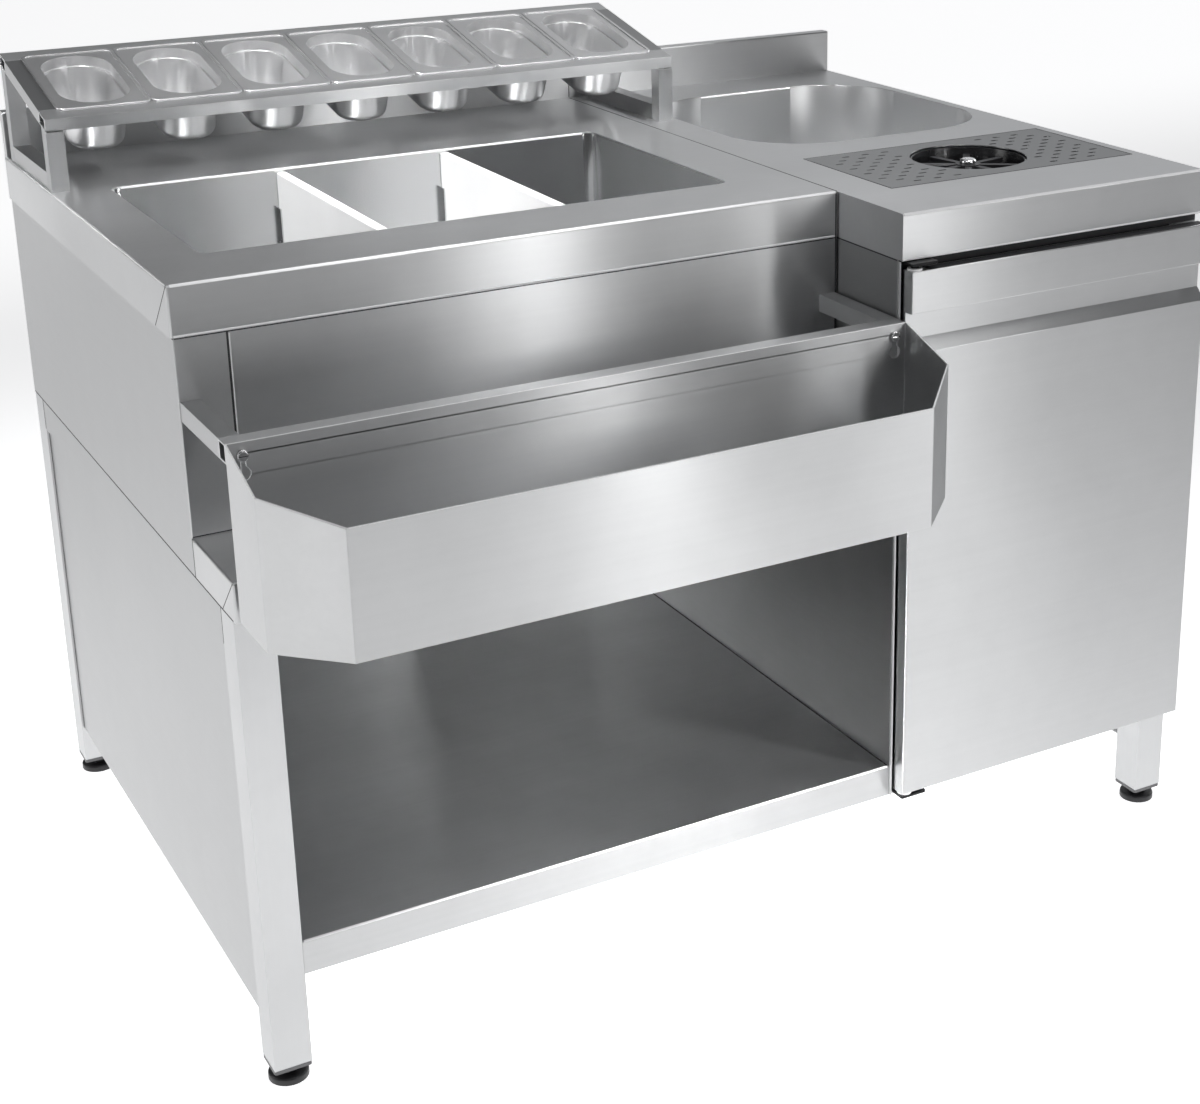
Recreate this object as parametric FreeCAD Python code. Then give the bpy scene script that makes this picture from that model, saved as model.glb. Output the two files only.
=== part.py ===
import FreeCAD, Part
import math
import os

Vector = FreeCAD.Vector

# Lengths in millimetres. Working frame: x from the left side, y from the face of the
# right worktop towards the back, z from the floor. The finished pieces are moved so that
# the middle of the footprint lies on the origin.

# Whole station
WIDTH = 1180.0
RIGHT_WIDTH = 424.0
DEPTH = 830.0
TOP_HEIGHT = 826.0
STEP_BACK = 130.0

# Sheet metal
SHEET = 1.5
BEND = 2.5
APRON_HEIGHT = 52.0
APRON_LIP = 16.0
UPSTAND_HEIGHT = 57.0
UPSTAND_THICK = 16.0
UPSTAND_RETURN = 15.0
RIM_FLANGE = 12.0

# Frame of square tube
LEG_SIZE = 40.0
TUBE_WALL = 2.0
LEG_END = 21.0
SIDE_INSET = 2.0
FRONT_INSET = 9.0
BACK_INSET = 5.0
DECK_DROP = 258.0
DECK_EDGE = 42.0
DECK_FRONT = 0.0
DECK_LIP = 26.0
PANEL_RECESS = 3.0
PANEL_END = 68.0
SHELF_HEIGHT = 163.0
SHELF_EDGE = 38.0
FRONT_RETURN = 55.0

# Levelling feet
FOOT_RADIUS = 21.0
FOOT_PAD = 8.0
STEM_RADIUS = 5.0
STEM_TOP = 54.0
NUT_RADIUS = 11.0
NUT_HEIGHT = 5.0
CAP_PLATE = 4.0
PLUG_HEIGHT = 26.0

# Ice well
WELL_MARGIN_LEFT = 64.0
WELL_MARGIN_RIGHT = 80.0
WELL_MARGIN_FRONT = 103.0
WELL_MARGIN_BACK = 10.0
WELL_LIFT = 31.5
WELL_CORNER = 12.0
WELL_FLOOR_ROUND = 8.0
FOAM = 25.0
FOAM_TOP_GAP = 14.0
DIVIDER_THICK = 12.0
DIVIDER_TOP_DROP = 5.0
CLIP_TOP_DROP = 47.0
CLIP_HEIGHT = 56.0
CLIP_DEPTH = 12.0

# Condiment pan rail
PAN_WIDTH = 107.9
PAN_LENGTH = 176.0
PAN_PITCH = 108.5
PAN_DEPTH = 65.0
PAN_STEP_DEPTH = 12.0
PAN_SHEET = 1.2
PAN_BEAD = 4.0
PAN_CORNER = 9.0
PAN_RIM_SIDE = 12.0
PAN_RIM_END = 13.0
PAN_SHOULDER = 4.0
PAN_TAPER = 6.0
PAN_FLOOR_ROUND = 12.0
RAIL_LEFT = 3.0
RAIL_OVERHANG = 50.0
RAIL_TUBE = 20.0
RAIL_BAR_WIDE = 27.0
RAIL_BAR_HIGH = 15.0
RAIL_MARGIN = 19.0
RAIL_BACK_GAP = 10.0
RAIL_FRONT_HEIGHT = 83.0
RAIL_SLOPE = 12.4

# Speed rail and the bracket that carries it
ARM_TUBE = 20.0
ARM_DROP = 116.0
ARM_INSET = 3.0
ARM_REACH = 142.0
TROUGH_DEPTH = 141.0
TROUGH_HEIGHT = 177.0
TROUGH_FRONT_HEIGHT = 130.0
TROUGH_CHAMFER = 61.0
SCREW_INSET = 15.0
SCREW_DROP = 13.0
SCREW_RADIUS = 2.5
SCREW_HEAD_RADIUS = 6.0
SCREW_HEAD_HIGH = 3.6
KEYHOLE_DROP = 18.0
KEYHOLE_RADIUS = 7.0

# Sink
SINK_MARGIN_LEFT = 52.0
SINK_MARGIN_RIGHT = 16.0
SINK_MARGIN_FRONT = 67.0
SINK_MARGIN_BACK = 108.0
SINK_DEPTH = 170.0
SINK_CORNER = 105.0
SINK_FLOOR_ROUND = 40.0

# Glass rinser
COVER_MARGIN_LEFT = 61.0
COVER_MARGIN_RIGHT = 18.0
COVER_FRONT = 111.0
COVER_LENGTH = 184.0
COVER_HOLE_RADIUS = 70.0
COVER_LEDGE = 8.0
BASIN_DEPTH = 60.0
SLOT_LONG = 11.0
SLOT_WIDE = 4.0
SLOT_PITCH_X = 14.0
SLOT_PITCH_Y = 30.0
SLOT_MARGIN = 13.0
RINSER_FLANGE_RADIUS = 34.0
RINSER_FLANGE = 6.0
RINSER_COLUMN_RADIUS = 15.0
RINSER_POST_RADIUS = 8.0
RINSER_STROKE = 5.0
RINSER_ROOM = 3.0
RINSER_BORE = 4.0
HUB_DROP = 8.0
HUB_HIGH = 20.0
HUB_CAP = 2.0
SPIDER_RADIUS = 61.0
SPIDER_ARMS = 8
SPIDER_ARM_WIDE = 8.0
SPIDER_ARM_HIGH = 5.0
SPIDER_TURN = 11.0
NOZZLE_RADIUS = 10.0
NOZZLE_HIGH = 6.0
JET_RADIUS = 0.8
JET_CIRCLE = 4.0
CUP_RADIUS = 69.0
CUP_WALL = 2.0
CUP_GAP = 1.0
CUP_DRAIN_RADIUS = 5.0
CUP_DRAIN_CIRCLE = 48.0
INLET_NUT = 7.0
INLET_NUT_HIGH = 9.0
INLET_RADIUS = 10.5
INLET_LENGTH = 45.0

# Waste fittings
WASTE_HOLE_RADIUS = 28.0
WASTE_TAIL_RADIUS = 20.0
WASTE_RING = 8.0
WASTE_RING_HIGH = 2.0
WASTE_NUT = 9.0
WASTE_NUT_HIGH = 14.0
WASTE_WALL = 2.0
STRAINER_RADIUS = 3.5
STRAINER_CIRCLE = 12.0
DECK_HOLE_GAP = 2.0
SINK_TAIL = 90.0
WELL_TAIL = 120.0

# Door
DOOR_GAP_LEFT = 4.0
DOOR_GAP_RIGHT = 2.0
DOOR_TOP_GAP = 10.0
DOOR_OVERLAP = 29.0
DOOR_THICK = 18.0
DOOR_BACK_GAP = 4.5
GRIP_BAND = 47.0
GRIP_BACK = 31.0
GRIP_SLOPE = 14.0
GRIP_DEPTH = 12.0
PIVOT_INSET = 9.0
PIN_RADIUS = 4.0
BUSH_RADIUS = 6.5
BUSH_FLANGE_RADIUS = 8.5
BUSH_FLANGE = 2.5
BUSH_LENGTH = 14.0
HINGE_PLATE = 3.0
HINGE_PLATE_LONG = 34.0
TOP_BAR = 24.0
CATCH_WIDTH = 36.0
CATCH_HIGH = 12.0

# Clearances
RUN_FIT = 0.05
SLIP_FIT = 0.5
REST_GAP = 0.2
HANG_GAP = 0.3

# Values that follow from the sizes above
LEFT_WIDTH = WIDTH - RIGHT_WIDTH
APRON_BOTTOM = TOP_HEIGHT - APRON_HEIGHT
SHEET_UNDER = TOP_HEIGHT - SHEET
LEG_FRONT = FRONT_INSET
LEG_BACK = DEPTH - BACK_INSET
LEG_OUT_LEFT = SIDE_INSET
LEG_OUT_RIGHT = WIDTH - SIDE_INSET
LEG_IN_LEFT = LEG_OUT_LEFT + LEG_SIZE
LEG_IN_RIGHT = LEG_OUT_RIGHT - LEG_SIZE
WALL_RIGHT = LEFT_WIDTH + SHEET
DECK_HEIGHT = TOP_HEIGHT - DECK_DROP
LOWER_HEIGHT = DECK_HEIGHT - DECK_EDGE
RAIL_ROOM = LEFT_WIDTH + RAIL_OVERHANG - RAIL_LEFT - 2 * RAIL_MARGIN
PAN_COUNT = int(RAIL_ROOM / PAN_PITCH)
RAIL_WIDTH = PAN_COUNT * PAN_PITCH + 2 * RAIL_MARGIN
RAIL_RIGHT = RAIL_LEFT + RAIL_WIDTH
RAIL_RUN = PAN_LENGTH + 2 * RAIL_MARGIN
RAIL_BACK = DEPTH - UPSTAND_THICK - RAIL_BACK_GAP
RAIL_FRONT = RAIL_BACK - RAIL_RUN * math.cos(math.radians(RAIL_SLOPE))
RAIL_EDGE_Z = TOP_HEIGHT + RAIL_FRONT_HEIGHT
WELL_LEFT = WELL_MARGIN_LEFT
WELL_RIGHT = LEFT_WIDTH - WELL_MARGIN_RIGHT
WELL_FRONT = STEP_BACK + WELL_MARGIN_FRONT
WELL_BACK = RAIL_FRONT - WELL_MARGIN_BACK
WELL_MID_X = (WELL_LEFT + WELL_RIGHT) / 2
WELL_MID_Y = (WELL_FRONT + WELL_BACK) / 2
WELL_FLOOR = DECK_HEIGHT + WELL_LIFT + FOAM + SHEET
COVER_LEFT = LEFT_WIDTH + COVER_MARGIN_LEFT
COVER_RIGHT = WIDTH - COVER_MARGIN_RIGHT
COVER_BACK = COVER_FRONT + COVER_LENGTH
SINK_LEFT = LEFT_WIDTH + SINK_MARGIN_LEFT
SINK_RIGHT = WIDTH - SINK_MARGIN_RIGHT
SINK_FRONT = COVER_BACK + SINK_MARGIN_FRONT
SINK_BACK = DEPTH - SINK_MARGIN_BACK
SINK_MID_X = (SINK_LEFT + SINK_RIGHT) / 2
SINK_MID_Y = (SINK_FRONT + SINK_BACK) / 2
SINK_FLOOR = TOP_HEIGHT - SINK_DEPTH
COVER_MID_X = (COVER_LEFT + COVER_RIGHT) / 2
COVER_MID_Y = (COVER_FRONT + COVER_BACK) / 2
BASIN_FLOOR = TOP_HEIGHT - BASIN_DEPTH
ARM_TOP = TOP_HEIGHT - ARM_DROP
ARM_LEFT = ARM_INSET
ARM_RIGHT = LEFT_WIDTH - ARM_INSET
ARM_FACE = STEP_BACK - ARM_REACH
TROUGH_FLOOR = ARM_TOP - TROUGH_HEIGHT
TROUGH_BACK = ARM_FACE - REST_GAP
TROUGH_FACE = TROUGH_BACK - TROUGH_DEPTH
SCREW_Z = ARM_TOP - SCREW_DROP
DOOR_TOP = APRON_BOTTOM - DOOR_TOP_GAP
DOOR_BOTTOM = SHELF_HEIGHT - DOOR_OVERLAP
DOOR_LEFT = LEFT_WIDTH + DOOR_GAP_LEFT
DOOR_RIGHT = WIDTH - DOOR_GAP_RIGHT
DOOR_BACK = LEG_FRONT - DOOR_BACK_GAP
DOOR_FACE = DOOR_BACK - DOOR_THICK
PIVOT_X = DOOR_LEFT + PIVOT_INSET
PIVOT_Y = (DOOR_BACK + DOOR_FACE) / 2
CENTRE = Vector(-WIDTH / 2, -(DEPTH + TROUGH_FACE) / 2, 0)


def block(x0, y0, z0, x1, y1, z1):
    """Box between two corners."""
    return Part.makeBox(x1 - x0, y1 - y0, z1 - z0, Vector(x0, y0, z0))


def upright(x, y, radius, z0, z1):
    """Vertical cylinder."""
    return Part.makeCylinder(radius, z1 - z0, Vector(x, y, z0))


def edges_along(shape, axis, **at):
    """Straight edges along one axis whose middles lie at the given coordinates."""
    found = []
    for edge in shape.Edges:
        bounds = edge.BoundBox
        spans = {"x": bounds.XLength, "y": bounds.YLength, "z": bounds.ZLength}
        across = sum(span for name, span in spans.items() if name != axis)
        middle = bounds.Center
        near = all(abs(getattr(middle, name) - value) < 0.01 for name, value in at.items())
        if across < 0.01 and near:
            found.append(edge)
    return found


def slab(x0, y0, x1, y1, corner, z0, z1):
    """Plate or block with rounded upright corners."""
    body = block(x0, y0, z0, x1, y1, z1)
    return body.makeFillet(corner, edges_along(body, "z"))


def rounded_below(body, radius, z):
    """Body with the edges of its underside rounded."""
    edges = []
    for edge in body.Edges:
        bounds = edge.BoundBox
        if abs(bounds.ZMin - z) < 0.01 and bounds.ZLength < 0.01:
            edges.append(edge)
    return body.makeFillet(radius, edges)


def tube(x0, y0, z0, x1, y1, z1, axis, wall=TUBE_WALL):
    """Square or flat tube open at both ends of one axis."""
    low = [x0, y0, z0]
    high = [x1, y1, z1]
    for i, name in enumerate("xyz"):
        shift = -1.0 if name == axis else wall
        low[i] += shift
        high[i] -= shift
    return block(x0, y0, z0, x1, y1, z1).cut(block(*low, *high))


def folded_top(x0, y0, x1, y1, outer_x):
    """Worktop sheet with folded aprons and a lip turned in below them."""
    body = block(x0, y0, APRON_BOTTOM, x1, y1, TOP_HEIGHT)
    bends = edges_along(body, "x", y=y0, z=TOP_HEIGHT)
    bends += edges_along(body, "y", x=outer_x, z=TOP_HEIGHT)
    bends += edges_along(body, "z", x=outer_x, y=y0)
    body = body.makeFillet(BEND, bends)
    inside = block(x0 + SHEET, y0 + SHEET, APRON_BOTTOM + SHEET, x1 - SHEET, y1 - SHEET, SHEET_UNDER)
    mouth = block(
        x0 + APRON_LIP, y0 + APRON_LIP, APRON_BOTTOM - 1, x1 - APRON_LIP, y1 - APRON_LIP, SHEET_UNDER
    )
    return body.cut(inside).cut(mouth)


def upstand(x0, x1, end_x):
    """Rear upstand: face, top and a short fold down the back, with one closed end."""
    face = DEPTH - UPSTAND_THICK
    crest = TOP_HEIGHT + UPSTAND_HEIGHT
    body = block(x0, face, TOP_HEIGHT, x1, DEPTH, crest)
    body = body.makeFillet(BEND, edges_along(body, "x", y=face, z=crest))
    inside = block(x0 - 1, face + SHEET, TOP_HEIGHT, x1 + 1, DEPTH - SHEET, crest - SHEET)
    behind = block(x0 - 1, DEPTH - SHEET, TOP_HEIGHT, x1 + 1, DEPTH + 1, crest - UPSTAND_RETURN)
    body = body.cut(inside).cut(behind)
    cap = block(end_x, face + SHEET, TOP_HEIGHT, end_x + SHEET, DEPTH - SHEET, crest - SHEET)
    return body.fuse(cap)


def worktop_left():
    body = folded_top(0, STEP_BACK, LEFT_WIDTH, DEPTH, 0)
    body = body.fuse(upstand(0, LEFT_WIDTH, 0))
    return body.cut(slab(WELL_LEFT, WELL_FRONT, WELL_RIGHT, WELL_BACK, WELL_CORNER, SHEET_UNDER - 1, TOP_HEIGHT + 1))


def worktop_right():
    body = folded_top(LEFT_WIDTH, 0, WIDTH, DEPTH, WIDTH)
    body = body.fuse(upstand(LEFT_WIDTH, WIDTH, WIDTH - SHEET))
    body = body.cut(slab(SINK_LEFT, SINK_FRONT, SINK_RIGHT, SINK_BACK, SINK_CORNER, SHEET_UNDER - 1, TOP_HEIGHT + 1))
    seat = block(
        COVER_LEFT - SLIP_FIT,
        COVER_FRONT - SLIP_FIT,
        SHEET_UNDER - 1,
        COVER_RIGHT + SLIP_FIT,
        COVER_BACK + SLIP_FIT,
        TOP_HEIGHT + 1,
    )
    room = SHEET + SLIP_FIT
    notch = slab(
        SINK_LEFT - room, SINK_FRONT - room, SINK_RIGHT + room, SINK_BACK + room,
        SINK_CORNER + room, APRON_BOTTOM - 1, SHEET_UNDER - SHEET,
    )
    return body.cut(seat).cut(notch)


def tub(x0, y0, x1, y1, corner, floor, floor_round, flange, drain_radius):
    """Pressed bowl hung below a worktop by a flat flange, with a drain hole in its floor."""
    shell = slab(x0 - SHEET, y0 - SHEET, x1 + SHEET, y1 + SHEET, corner + SHEET, floor - SHEET, SHEET_UNDER)
    shell = rounded_below(shell, floor_round + SHEET, floor - SHEET)
    brim = slab(x0 - flange, y0 - flange, x1 + flange, y1 + flange, corner + flange, SHEET_UNDER - SHEET, SHEET_UNDER)
    hollow = slab(x0, y0, x1, y1, corner, floor, SHEET_UNDER + 1)
    hollow = rounded_below(hollow, floor_round, floor)
    drain = upright((x0 + x1) / 2, (y0 + y1) / 2, drain_radius, floor - 2 * SHEET, floor + 1)
    return shell.fuse(brim).cut(hollow).cut(drain)


def well_tub():
    return tub(
        WELL_LEFT, WELL_FRONT, WELL_RIGHT, WELL_BACK,
        WELL_CORNER, WELL_FLOOR, WELL_FLOOR_ROUND, RIM_FLANGE, WASTE_HOLE_RADIUS,
    )


def sink_bowl():
    return tub(
        SINK_LEFT, SINK_FRONT, SINK_RIGHT, SINK_BACK,
        SINK_CORNER, SINK_FLOOR, SINK_FLOOR_ROUND, RIM_FLANGE, WASTE_HOLE_RADIUS,
    )


def rinser_basin():
    inset = COVER_LEDGE
    return tub(
        COVER_LEFT + inset, COVER_FRONT + inset, COVER_RIGHT - inset, COVER_BACK - inset,
        WELL_CORNER, BASIN_FLOOR, WELL_FLOOR_ROUND, inset + RIM_FLANGE, INLET_RADIUS,
    )


def well_foam():
    """Insulation round the sides and floor of the ice well."""
    top = SHEET_UNDER - FOAM_TOP_GAP
    floor = WELL_FLOOR - SHEET
    body = block(
        WELL_LEFT - SHEET - FOAM, WELL_FRONT - SHEET - FOAM, floor - FOAM,
        WELL_RIGHT + SHEET + FOAM, WELL_BACK + SHEET + FOAM, top,
    )
    hollow = slab(
        WELL_LEFT - SHEET, WELL_FRONT - SHEET, WELL_RIGHT + SHEET, WELL_BACK + SHEET,
        WELL_CORNER + SHEET, floor, top + 1,
    )
    hollow = rounded_below(hollow, WELL_FLOOR_ROUND + SHEET, floor)
    hole = upright(WELL_MID_X, WELL_MID_Y, WASTE_HOLE_RADIUS + WASTE_NUT_HIGH, floor - FOAM - 1, floor + 1)
    return body.cut(hollow).cut(hole)


def waste(x, y, floor, tail):
    """Waste fitting: strainer ring on the floor, nut below it and a tail pipe."""
    under = floor - SHEET
    nut = under - WASTE_NUT_HIGH
    crest = floor + WASTE_RING_HIGH
    ring = upright(x, y, WASTE_HOLE_RADIUS + WASTE_RING, floor, crest)
    ring = ring.makeChamfer(WASTE_RING_HIGH * 0.6, [e for e in ring.Edges if abs(e.BoundBox.ZMin - crest) < 0.01])
    body = ring.fuse(upright(x, y, WASTE_HOLE_RADIUS, nut, floor))
    body = body.fuse(upright(x, y, WASTE_HOLE_RADIUS + WASTE_NUT, nut, under))
    body = body.fuse(upright(x, y, WASTE_TAIL_RADIUS, under - tail, nut))
    body = body.cut(upright(x, y, WASTE_TAIL_RADIUS - WASTE_WALL, under - tail - 1, under))
    body = body.cut(upright(x, y, WASTE_HOLE_RADIUS - WASTE_WALL, under + WASTE_WALL, crest + 1))
    for i in range(6):
        turn = math.radians(60 * i)
        hole_x = x + STRAINER_CIRCLE * math.cos(turn)
        hole_y = y + STRAINER_CIRCLE * math.sin(turn)
        body = body.cut(upright(hole_x, hole_y, STRAINER_RADIUS, under - 1, crest + 1))
    return body.cut(upright(x, y, STRAINER_RADIUS, under - 1, crest + 1))


def divider(middle):
    """Loose plate that stands in the well, held upright by its clips."""
    low = WELL_FLOOR + REST_GAP
    high = TOP_HEIGHT - DIVIDER_TOP_DROP
    front = WELL_FRONT + SHEET + SLIP_FIT
    back = WELL_BACK - SHEET - SLIP_FIT
    half = DIVIDER_THICK / 2
    body = block(middle - half, front, low, middle + half, back, high)
    corners = edges_along(body, "x", z=low)
    body = body.makeChamfer(WELL_FLOOR_ROUND, corners)
    return body.makeFillet(1.5, edges_along(body, "y", z=high))


def divider_middles():
    clear = (WELL_RIGHT - WELL_LEFT - 2 * DIVIDER_THICK) / 3
    first = WELL_LEFT + clear + DIVIDER_THICK / 2
    return [first, first + clear + DIVIDER_THICK]


def divider_clips():
    """Channel clips on the front and back walls of the well."""
    high = TOP_HEIGHT - CLIP_TOP_DROP
    low = high - CLIP_HEIGHT
    inner = DIVIDER_THICK / 2 + SLIP_FIT
    outer = inner + SHEET
    clips = []
    for middle in divider_middles():
        for wall, inward in ((WELL_FRONT, 1), (WELL_BACK, -1)):
            y0, y1 = sorted((wall, wall + inward * CLIP_DEPTH))
            body = block(middle - outer, y0, low, middle + outer, y1, high)
            g0, g1 = sorted((wall + inward * SHEET, wall + inward * (CLIP_DEPTH + 1)))
            clips.append(body.cut(block(middle - inner, g0, low - 1, middle + inner, g1, high + 1)))
    return Part.makeCompound(clips)


def leg(x, y, top):
    return tube(x, y, LEG_END, x + LEG_SIZE, y + LEG_SIZE, top, "z")


def leg_places():
    """Left and front corner of each leg."""
    places = []
    for y in (LEG_FRONT, LEG_BACK - LEG_SIZE):
        for x in (LEG_OUT_LEFT, LEG_IN_RIGHT):
            places.append((x, y))
    return places


def foot_caps():
    """Plastic plugs in the leg ends, bored for the foot stems."""
    caps = []
    half = LEG_SIZE / 2
    for x, y in leg_places():
        plate = slab(x, y, x + LEG_SIZE, y + LEG_SIZE, 3, LEG_END - CAP_PLATE, LEG_END)
        inner = TUBE_WALL
        plug = block(x + inner, y + inner, LEG_END, x + LEG_SIZE - inner, y + LEG_SIZE - inner, LEG_END + PLUG_HEIGHT)
        bore = upright(x + half, y + half, STEM_RADIUS + RUN_FIT, 0, LEG_END + PLUG_HEIGHT + 1)
        caps.append(plate.fuse(plug).cut(bore))
    return Part.makeCompound(caps)


def foot(x, y):
    """Levelling foot: pad, hexagon for a spanner and threaded stem."""
    pad = upright(x, y, FOOT_RADIUS, 0, FOOT_PAD)
    pad = pad.makeFillet(2.5, [e for e in pad.Edges if abs(e.BoundBox.ZMin - FOOT_PAD) < 0.01])
    ring = []
    for i in range(7):
        turn = math.radians(60 * i)
        ring.append(Vector(x + NUT_RADIUS * math.cos(turn), y + NUT_RADIUS * math.sin(turn), FOOT_PAD))
    hexagon = Part.Face(Part.makePolygon(ring)).extrude(Vector(0, 0, NUT_HEIGHT))
    stem = upright(x, y, STEM_RADIUS, FOOT_PAD, STEM_TOP)
    return pad.fuse(hexagon).fuse(stem)


def side_rail():
    """Top rail of the lower frame along the left side."""
    low = LOWER_HEIGHT - LEG_SIZE
    mid_front = LEG_FRONT + LEG_SIZE
    mid_back = LEG_BACK - LEG_SIZE
    return tube(LEG_OUT_LEFT, mid_front, low, LEG_IN_LEFT, mid_back, LOWER_HEIGHT, "y")


def cross_rails():
    """Top rails of the lower frame along the front and the back."""
    low = LOWER_HEIGHT - LEG_SIZE
    rails = []
    for y in (LEG_FRONT, LEG_BACK - LEG_SIZE):
        rails.append(tube(LEG_IN_LEFT, y, low, LEFT_WIDTH, y + LEG_SIZE, LOWER_HEIGHT, "x"))
    return Part.makeCompound(rails)


def side_panel_lower():
    """Left side panel set back between the legs."""
    x = LEG_OUT_LEFT + PANEL_RECESS
    panel = block(x, LEG_FRONT + LEG_SIZE, PANEL_END, x + SHEET, LEG_BACK - LEG_SIZE, LOWER_HEIGHT - LEG_SIZE)
    fold = block(
        x, LEG_FRONT + LEG_SIZE, PANEL_END, x + APRON_LIP, LEG_BACK - LEG_SIZE, PANEL_END + SHEET
    )
    return panel.fuse(fold)


def side_panel_right():
    """Right side panel, full height between the right legs."""
    x = LEG_OUT_RIGHT - PANEL_RECESS
    panel = block(x - SHEET, LEG_FRONT + LEG_SIZE, PANEL_END, x, LEG_BACK - LEG_SIZE, APRON_BOTTOM)
    fold = block(
        x - APRON_LIP, LEG_FRONT + LEG_SIZE, PANEL_END, x, LEG_BACK - LEG_SIZE, PANEL_END + SHEET
    )
    return panel.fuse(fold)


def side_panel_upper():
    """Left side of the upper body, folded round onto its front."""
    x = SIDE_INSET
    panel = block(x, STEP_BACK, LOWER_HEIGHT, x + SHEET, DEPTH - SHEET, APRON_BOTTOM)
    fold = block(x, STEP_BACK, DECK_HEIGHT, FRONT_RETURN, STEP_BACK + SHEET, APRON_BOTTOM)
    body = panel.fuse(fold).removeSplitter()
    return body.makeFillet(SHEET * 0.9, edges_along(body, "z", x=x, y=STEP_BACK))


def well_front_panel():
    return block(FRONT_RETURN, STEP_BACK, DECK_HEIGHT, LEFT_WIDTH, STEP_BACK + SHEET, APRON_BOTTOM)


def back_panel_upper():
    return block(
        SIDE_INSET + SHEET, LEG_BACK - SHEET, LOWER_HEIGHT, LEFT_WIDTH, LEG_BACK, APRON_BOTTOM
    )


def back_panel_lower():
    return block(
        LEG_IN_LEFT, LEG_BACK - SHEET, SHELF_HEIGHT - SHELF_EDGE,
        LEFT_WIDTH, LEG_BACK, LOWER_HEIGHT - LEG_SIZE,
    )


def back_panel_right():
    return block(
        WALL_RIGHT, LEG_BACK - SHEET, SHELF_HEIGHT - SHELF_EDGE, LEG_IN_RIGHT, LEG_BACK, APRON_BOTTOM
    )


def partition():
    """Wall between the open shelf and the cupboard, seen above the deck as well."""
    return block(LEFT_WIDTH, LEG_FRONT, SHELF_HEIGHT - SHELF_EDGE, WALL_RIGHT, LEG_BACK, APRON_BOTTOM)


def deck():
    """Top of the lower cabinet, folded down at the front and at the left corner."""
    left = SIDE_INSET
    body = block(left, DECK_FRONT, LOWER_HEIGHT, LEFT_WIDTH, LEG_BACK - SHEET, DECK_HEIGHT)
    bends = edges_along(body, "x", y=DECK_FRONT, z=DECK_HEIGHT)
    bends += edges_along(body, "y", x=left, z=DECK_HEIGHT)
    bends += edges_along(body, "z", x=left, y=DECK_FRONT)
    body = body.makeFillet(BEND, bends)
    under = DECK_HEIGHT - SHEET
    inside = block(left + SHEET, DECK_FRONT + SHEET, LOWER_HEIGHT + SHEET, LEFT_WIDTH + 1, DEPTH, under)
    mouth = block(left + DECK_LIP, DECK_FRONT + DECK_LIP, LOWER_HEIGHT - 1, LEFT_WIDTH + 1, DEPTH, under)
    body = body.cut(inside).cut(mouth)
    behind = block(left - 1, STEP_BACK, LOWER_HEIGHT - 1, left + DECK_LIP + 1, DEPTH, under)
    edge = block(left - 1, STEP_BACK, LOWER_HEIGHT - 1, left + SHEET, DEPTH, DECK_HEIGHT + 1)
    hole = upright(WELL_MID_X, WELL_MID_Y, WASTE_TAIL_RADIUS + DECK_HOLE_GAP, under - 1, DECK_HEIGHT + 1)
    return body.cut(behind).cut(edge).cut(hole)


def shelf():
    """Bottom of the open compartment: a tray between the legs, folded down all round."""
    low = SHELF_HEIGHT - SHELF_EDGE
    panel_in = LEG_OUT_LEFT + PANEL_RECESS + SHEET
    wide = block(LEG_IN_LEFT, LEG_FRONT, low, LEFT_WIDTH, LEG_BACK - SHEET, SHELF_HEIGHT)
    wide = wide.makeFillet(BEND, edges_along(wide, "x", y=LEG_FRONT, z=SHELF_HEIGHT))
    hollow = block(
        LEG_IN_LEFT + SHEET, LEG_FRONT + SHEET, low - 1,
        LEFT_WIDTH - SHEET, LEG_BACK - 2 * SHEET, SHELF_HEIGHT - SHEET,
    )
    ear = block(
        panel_in, LEG_FRONT + LEG_SIZE, SHELF_HEIGHT - SHEET, LEG_IN_LEFT + SHEET, LEG_BACK - LEG_SIZE, SHELF_HEIGHT
    )
    return wide.cut(hollow).fuse(ear)


def cupboard_floor():
    """Floor of the cupboard, folded down all round."""
    low = SHELF_HEIGHT - SHELF_EDGE
    panel_in = LEG_OUT_RIGHT - PANEL_RECESS - SHEET
    wide = block(WALL_RIGHT, LEG_FRONT, low, LEG_IN_RIGHT, LEG_BACK - SHEET, SHELF_HEIGHT)
    hollow = block(
        WALL_RIGHT + SHEET, LEG_FRONT + SHEET, low - 1,
        LEG_IN_RIGHT - SHEET, LEG_BACK - 2 * SHEET, SHELF_HEIGHT - SHEET,
    )
    ear = block(
        LEG_IN_RIGHT - SHEET, LEG_FRONT + LEG_SIZE, SHELF_HEIGHT - SHEET, panel_in, LEG_BACK - LEG_SIZE, SHELF_HEIGHT
    )
    return wide.cut(hollow).fuse(ear)


def cupboard_top_bar():
    return tube(
        WALL_RIGHT, LEG_FRONT, APRON_BOTTOM - TOP_BAR, LEG_IN_RIGHT, LEG_FRONT + TOP_BAR, APRON_BOTTOM, "x"
    )


def tilt(shape):
    """Turn a piece built flat, with its front top edge on the x axis, onto the sloped rail."""
    moved = shape.copy()
    moved.rotate(Vector(0, 0, 0), Vector(1, 0, 0), RAIL_SLOPE)
    moved.translate(Vector(0, RAIL_FRONT, RAIL_EDGE_Z))
    return moved


def rail_bars():
    """Front and back bars of the pan rail, on which the pan rims rest."""
    bars = []
    for y in (0, RAIL_RUN - RAIL_BAR_WIDE):
        bars.append(tilt(tube(RAIL_LEFT, y, -RAIL_BAR_HIGH, RAIL_RIGHT, y + RAIL_BAR_WIDE, 0, "x")))
    return Part.makeCompound(bars)


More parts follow.
